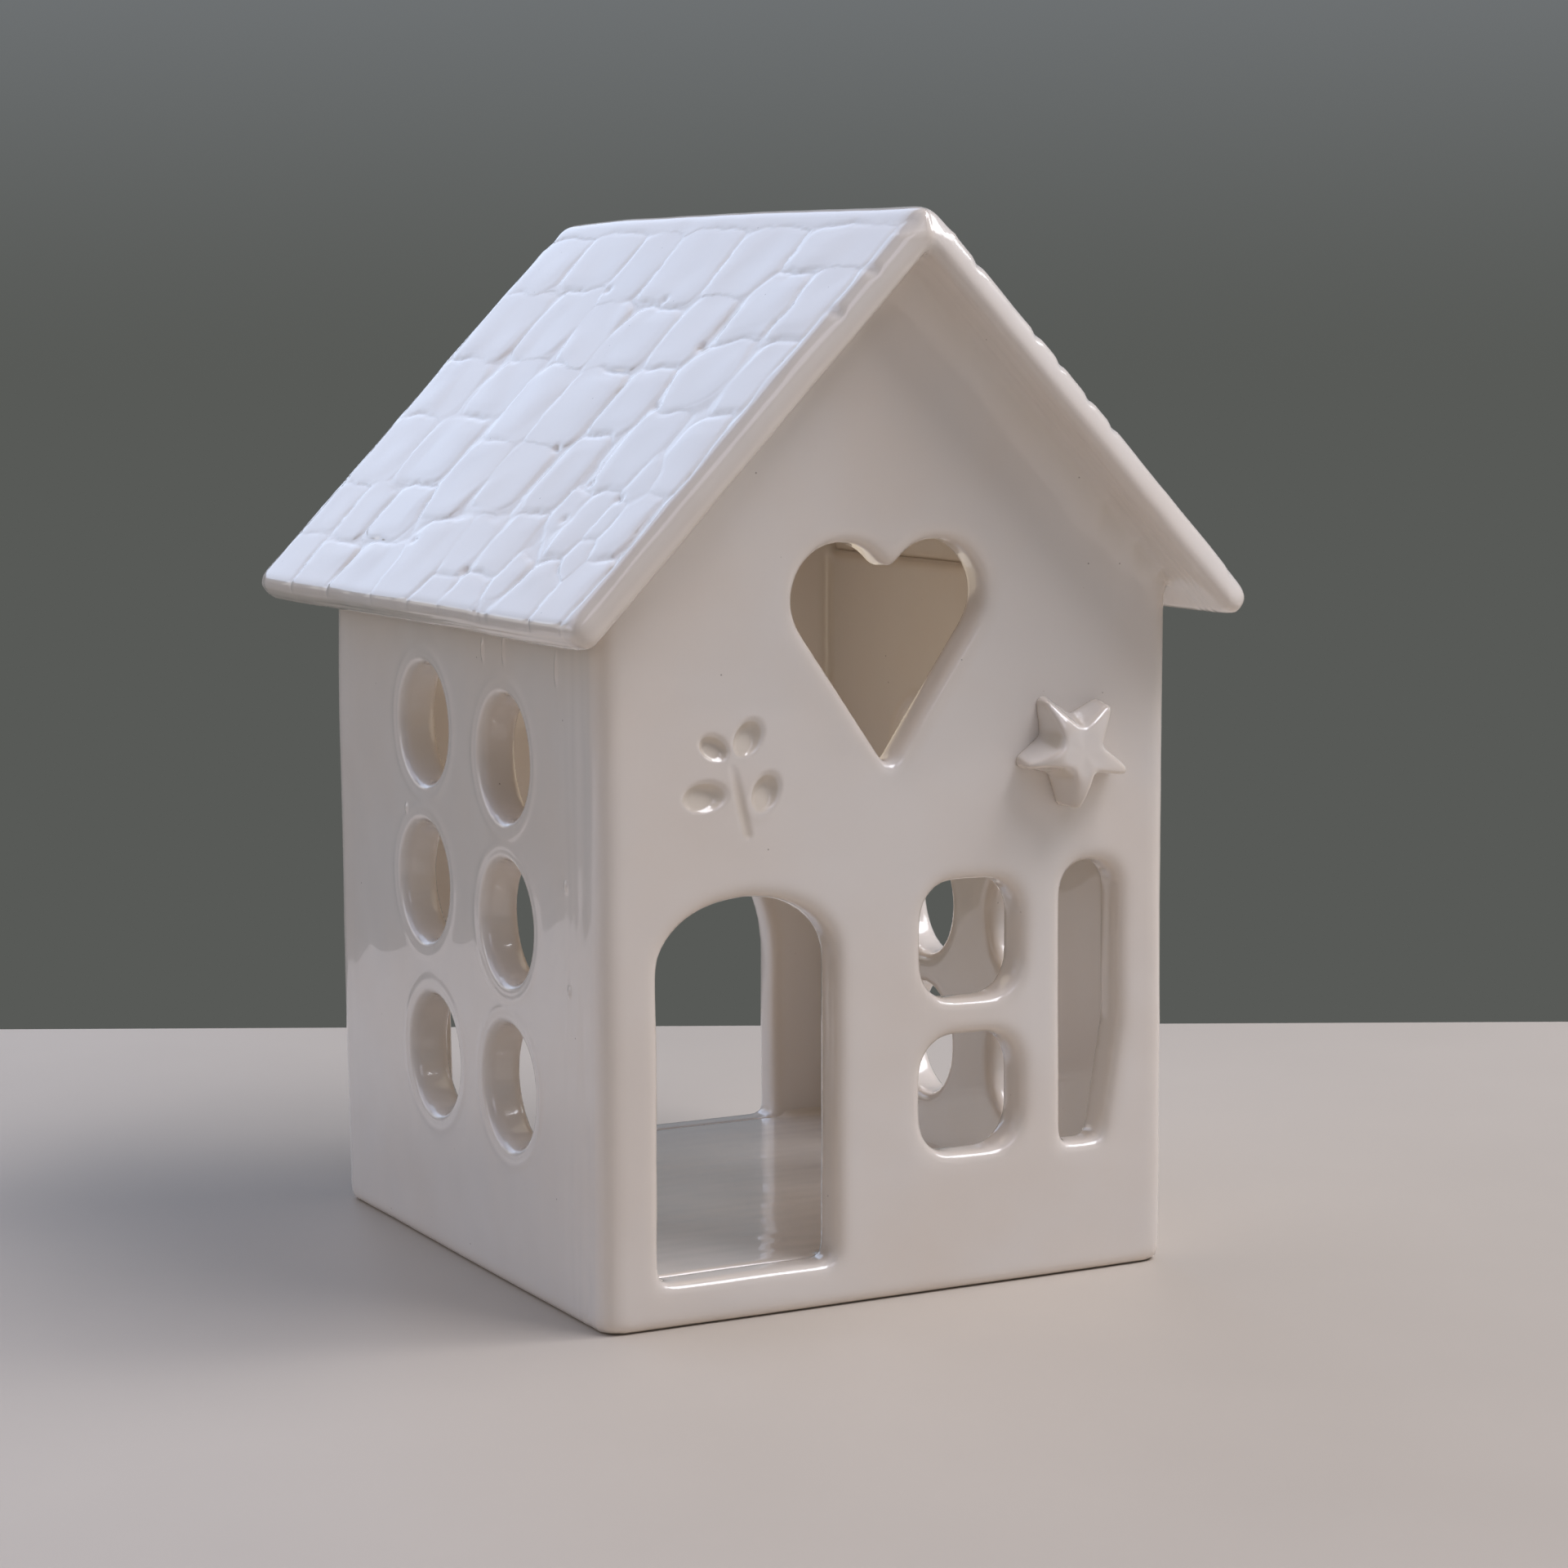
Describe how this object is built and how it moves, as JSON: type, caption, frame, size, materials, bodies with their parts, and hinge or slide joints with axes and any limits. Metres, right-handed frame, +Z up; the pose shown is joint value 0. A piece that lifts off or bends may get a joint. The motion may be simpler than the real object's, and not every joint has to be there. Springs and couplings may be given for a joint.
{
  "type": "tealight house",
  "caption": "Glazed slab-built clay house with a gable roof, pierced walls, a luted star and an arched back opening, which shelters a tealight and lets its light shine out.",
  "frame": {"origin": "middle of the house's footprint, on the ground that it stands on", "axes": "+Z up, the front with the door faces -Y, +X to the right seen from the front"},
  "size_m": [0.0969, 0.1062, 0.1365],
  "materials": {
    "cream_glaze": "glossy cream-white glaze over a pale clay body, bare where it stands"
  },
  "bodies": {
    "root": {"base_slab": "cream_glaze", "front_gable": "cream_glaze", "back_gable": "cream_glaze", "left_side_wall": "cream_glaze", "right_side_wall": "cream_glaze", "left_eave_coil": "cream_glaze", "right_eave_coil": "cream_glaze", "left_roof_slab": "cream_glaze", "right_roof_slab": "cream_glaze", "star_ornament": "cream_glaze"}
  },
  "joints": []
}
